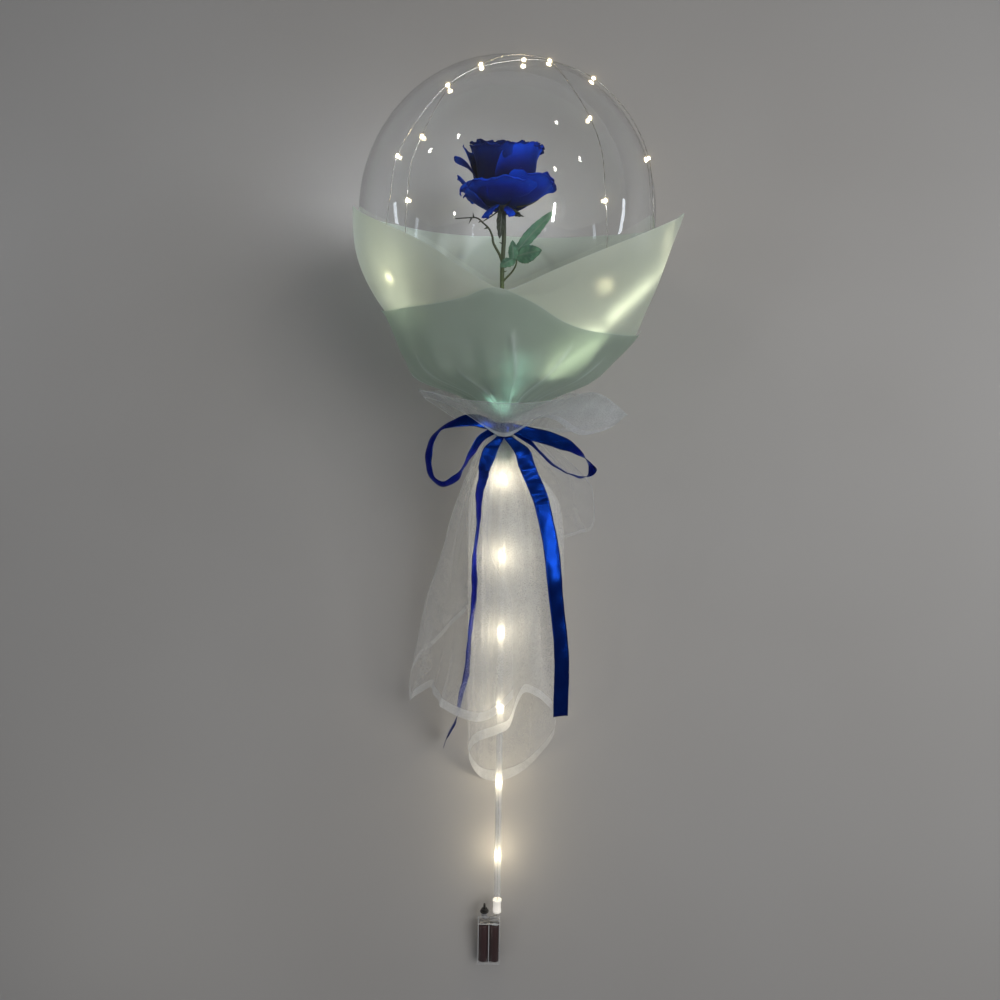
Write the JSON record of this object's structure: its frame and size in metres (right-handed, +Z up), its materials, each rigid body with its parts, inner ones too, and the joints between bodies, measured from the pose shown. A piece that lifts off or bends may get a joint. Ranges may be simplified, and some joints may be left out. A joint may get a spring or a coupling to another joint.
{
  "type": "light-up rose balloon",
  "caption": "Clear round balloon with an artificial blue rose sealed inside, on a clear tube with a light string, film wrap, tulle, ribbon bow and battery box.",
  "frame": {"origin": "on the floor, in the middle of the flat spot of the film under the balloon", "axes": "+Z up, +Y from the battery box towards the balloon's top, +X to the right of one who looks down on the lying object with the balloon at the far end"},
  "size_m": [0.4103, 1.1332, 0.361],
  "materials": {
    "clear_balloon": "clear, glossy",
    "frosted_film": "frosted pale mint film",
    "white_tulle": "fine white net",
    "blue_satin": "dark blue satin",
    "clear_hard_plastic": "clear, glossy",
    "dark_red_cell": "satin cell wrapper",
    "black_plastic": "satin black",
    "light_string": "small clear resin beads on thin wire"
  },
  "bodies": {
    "root": {"balloon": "clear_balloon", "wrap_back": "frosted_film", "wrap_front": "frosted_film", "tulle_collar": "white_tulle", "tulle_tail": "white_tulle", "tulle_veil": "white_tulle", "ribbon_knot": "blue_satin", "bow_loop_left": "blue_satin", "bow_loop_right": "blue_satin", "bow_tail_left": "blue_satin", "bow_tail_right": "blue_satin", "tube": "clear_hard_plastic", "battery_case": "clear_hard_plastic", "battery_lid": "clear_hard_plastic", "cell_left": "dark_red_cell", "cell_right": "dark_red_cell", "switch_collar": "black_plastic", "light_string": "light_string"},
    "button": {"switch_button": "black_plastic"}
  },
  "joints": [
    {"name": "button_press", "type": "slide", "parent": "root", "child": "button", "axis": [0, -0.9843, -0.1763], "range_m": [0, 0.0015], "stiffness_N_per_m": 200}
  ]
}
